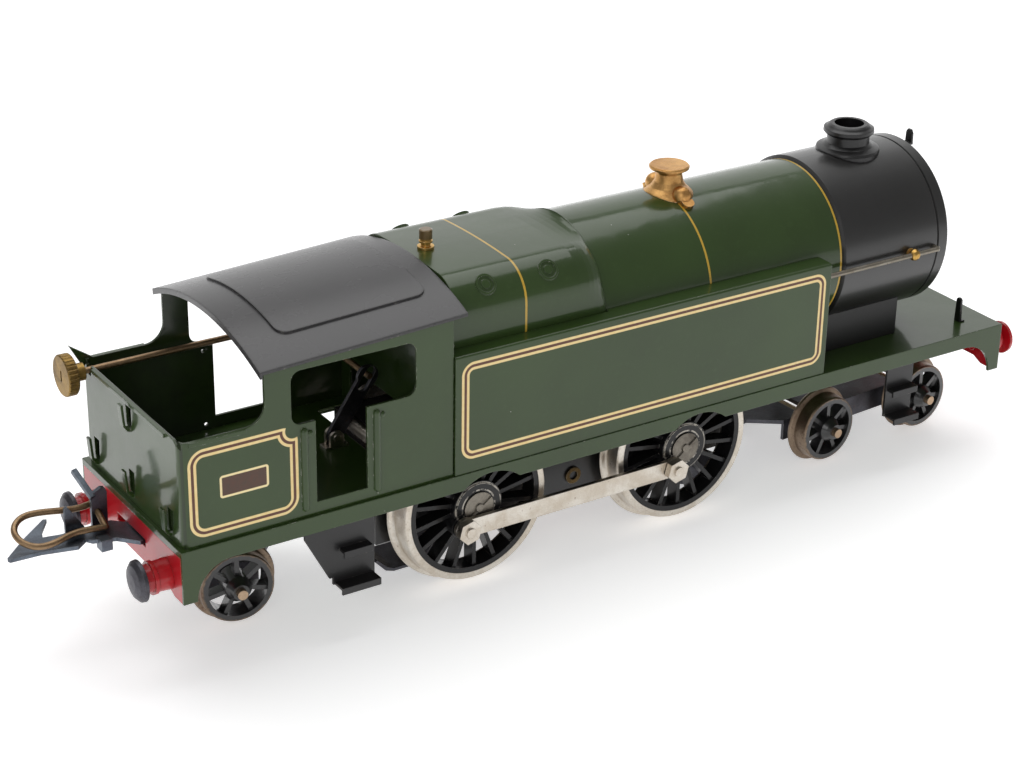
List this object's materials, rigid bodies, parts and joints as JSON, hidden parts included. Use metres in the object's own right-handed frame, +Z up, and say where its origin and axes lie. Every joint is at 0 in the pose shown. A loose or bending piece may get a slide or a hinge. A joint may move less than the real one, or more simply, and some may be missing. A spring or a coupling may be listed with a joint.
{
  "type": "toy tank locomotive",
  "caption": "Tinplate toy tank locomotive with swinging bogie and pony truck, coupled driving wheels, hand reversing rod, collector shoes and a hooked rear coupling.",
  "frame": {"origin": "at the track_rails mount: middle of the whole length, on the body's centre line, at the level of the wheel flange bottoms", "axes": "+X forward towards the smokebox, +Y to the locomotive's left, +Z up"},
  "size_m": [0.2938, 0.064, 0.0939],
  "materials": {
    "green_enamel": "glossy dark green stoved enamel with cream and maroon lining on the sides",
    "black_enamel": "satin black enamel",
    "red_enamel": "gloss signal red enamel",
    "dark_steel": "blued and tarnished steel",
    "wheel_black": "black enamelled casting",
    "nickel": "worn nickel plate",
    "worn_tread": "worn browned steel tread with black enamelled spokes",
    "brass": "lacquered brass, lightly tarnished",
    "copper_gilt": "copper-coloured lacquer",
    "bronze_wire": "tarnished coppered wire",
    "coil_red": "varnished winding",
    "fibre_board": "brown fibre board",
    "axle_copper": "copper-coloured axle ends"
  },
  "bodies": {
    "locomotive": {"footplate": "green_enamel", "buffer_beams": "red_enamel", "buffer_stocks": "red_enamel", "rear_buffer_heads": "dark_steel", "front_buffer_heads": "red_enamel", "cab_steps": "black_enamel", "front_steps": "black_enamel", "cab_and_bunker": "green_enamel", "cab_front_plate": "green_enamel", "cab_roof": "black_enamel", "right_tank": "green_enamel", "left_tank": "green_enamel", "firebox": "green_enamel", "boiler_barrel": "green_enamel", "smokebox": "black_enamel", "smokebox_door": "black_enamel", "smokebox_saddle": "black_enamel", "chimney": "black_enamel", "safety_valve_cover": "copper_gilt", "whistle": "brass", "boiler_handrails": "nickel", "handrail_knobs": "brass", "lamp_irons": "black_enamel", "mechanism_side_plates": "black_enamel", "axle_bushes": "brass", "frame_spacers": "nickel", "field_magnet": "dark_steel", "field_coil": "coil_red", "brush_gear": "fibre_board", "collector_plate": "fibre_board", "lever_bracket": "nickel", "coupling_pin": "dark_steel"},
    "rear_drivers": {"rear_axle": "nickel", "rear_wheel_centres": "wheel_black", "rear_tyres": "nickel", "rear_crank_pins": "nickel", "final_gear": "brass"},
    "front_drivers": {"front_axle": "nickel", "front_wheel_centres": "wheel_black", "front_tyres": "nickel", "front_crank_pins": "nickel"},
    "motor_armature": {"armature": "dark_steel", "armature_pinion": "brass"},
    "right_rod": {"right_coupling_rod": "nickel"},
    "left_rod": {"left_coupling_rod": "nickel"},
    "bogie": {"bogie_frame": "dark_steel"},
    "bogie_trailing_wheelset": {"bogie_trailing_axle": "axle_copper", "bogie_trailing_wheels": "worn_tread"},
    "bogie_leading_wheelset": {"bogie_leading_axle": "axle_copper", "bogie_leading_wheels": "worn_tread"},
    "pony_truck": {"pony_frame": "dark_steel"},
    "pony_wheelset": {"pony_axle": "axle_copper", "pony_wheels": "worn_tread"},
    "rear_shoe": {"rear_collector_shoe": "dark_steel"},
    "front_shoe": {"front_collector_shoe": "dark_steel"},
    "reversing_rod": {"control_rod": "bronze_wire", "control_knob": "brass"},
    "lever": {"reversing_lever": "dark_steel"},
    "drawplate": {"rear_coupling": "dark_steel"},
    "link": {"coupling_loop": "bronze_wire"}
  },
  "joints": [
    {"name": "rear_drivers_spin", "type": "hinge", "parent": "locomotive", "child": "rear_drivers", "pos_m": [-0.03275, 0, 0.0225], "axis": [0, 1, 0], "continuous": true},
    {"name": "front_drivers_spin", "type": "hinge", "parent": "locomotive", "child": "front_drivers", "pos_m": [0.03105, 0, 0.0225], "axis": [0, 1, 0], "continuous": true},
    {"name": "armature_spin", "type": "hinge", "parent": "locomotive", "child": "motor_armature", "pos_m": [-0.0185, 0, 0.02718], "axis": [0, 1, 0], "continuous": true},
    {"name": "right_rod_pivot", "type": "hinge", "parent": "rear_drivers", "child": "right_rod", "pos_m": [-0.03762, -0.0235, 0.01851], "axis": [0, 1, 0], "continuous": true},
    {"name": "left_rod_pivot", "type": "hinge", "parent": "rear_drivers", "child": "left_rod", "pos_m": [-0.02876, 0.0235, 0.01762], "axis": [0, 1, 0], "continuous": true},
    {"name": "bogie_swing", "type": "hinge", "parent": "locomotive", "child": "bogie", "pos_m": [0.022, 0, 0.0121], "axis": [0, 0, 1], "range_deg": [-8.8, 0]},
    {"name": "bogie_trailing_wheels_spin", "type": "hinge", "parent": "bogie", "child": "bogie_trailing_wheelset", "pos_m": [0.08501, 0.00485, 0.0109], "axis": [-0.0767, 0.9971, 0], "continuous": true},
    {"name": "bogie_leading_wheels_spin", "type": "hinge", "parent": "bogie", "child": "bogie_leading_wheelset", "pos_m": [0.12151, 0.00766, 0.0109], "axis": [-0.0767, 0.9971, 0], "continuous": true},
    {"name": "pony_swing", "type": "hinge", "parent": "locomotive", "child": "pony_truck", "pos_m": [-0.016, 0, 0.0121], "axis": [0, 0, 1], "range_deg": [0, 17.2]},
    {"name": "pony_wheels_spin", "type": "hinge", "parent": "pony_truck", "child": "pony_wheelset", "pos_m": [-0.09016, 0.01121, 0.0109], "axis": [0.1495, 0.9888, 0], "continuous": true},
    {"name": "rear_shoe_drop", "type": "hinge", "parent": "locomotive", "child": "rear_shoe", "pos_m": [-0.035, 0, 0.0062], "axis": [0, 1, 0], "range_deg": [0, 6]},
    {"name": "front_shoe_drop", "type": "hinge", "parent": "locomotive", "child": "front_shoe", "pos_m": [0.038, 0, 0.0062], "axis": [0, 1, 0], "range_deg": [-6, 0]},
    {"name": "reversing_rod_slide", "type": "slide", "parent": "locomotive", "child": "reversing_rod", "axis": [1, 0, 0], "range_m": [-0.009, 0]},
    {"name": "lever_swing", "type": "hinge", "parent": "locomotive", "child": "lever", "pos_m": [-0.0602, 0, 0.0392], "axis": [0, 1, 0], "range_deg": [-31.35, 0]},
    {"name": "drawplate_swing", "type": "hinge", "parent": "locomotive", "child": "drawplate", "pos_m": [-0.106, 0, 0.0296], "axis": [0, 0, 1], "range_deg": [-15, 1]},
    {"name": "link_lift", "type": "hinge", "parent": "drawplate", "child": "link", "pos_m": [-0.1224, 0.0056, 0.0339], "axis": [0, 0.9063, 0.4226], "range_deg": [0, 35]}
  ],
  "couplings": [
    {"joint": "front_drivers_spin", "follows": "rear_drivers_spin", "ratio": 1},
    {"joint": "right_rod_pivot", "follows": "rear_drivers_spin", "ratio": -1},
    {"joint": "left_rod_pivot", "follows": "rear_drivers_spin", "ratio": -1},
    {"joint": "armature_spin", "follows": "rear_drivers_spin", "ratio": -4},
    {"joint": "lever_swing", "follows": "reversing_rod_slide", "rad_per_m": 60.791}
  ]
}
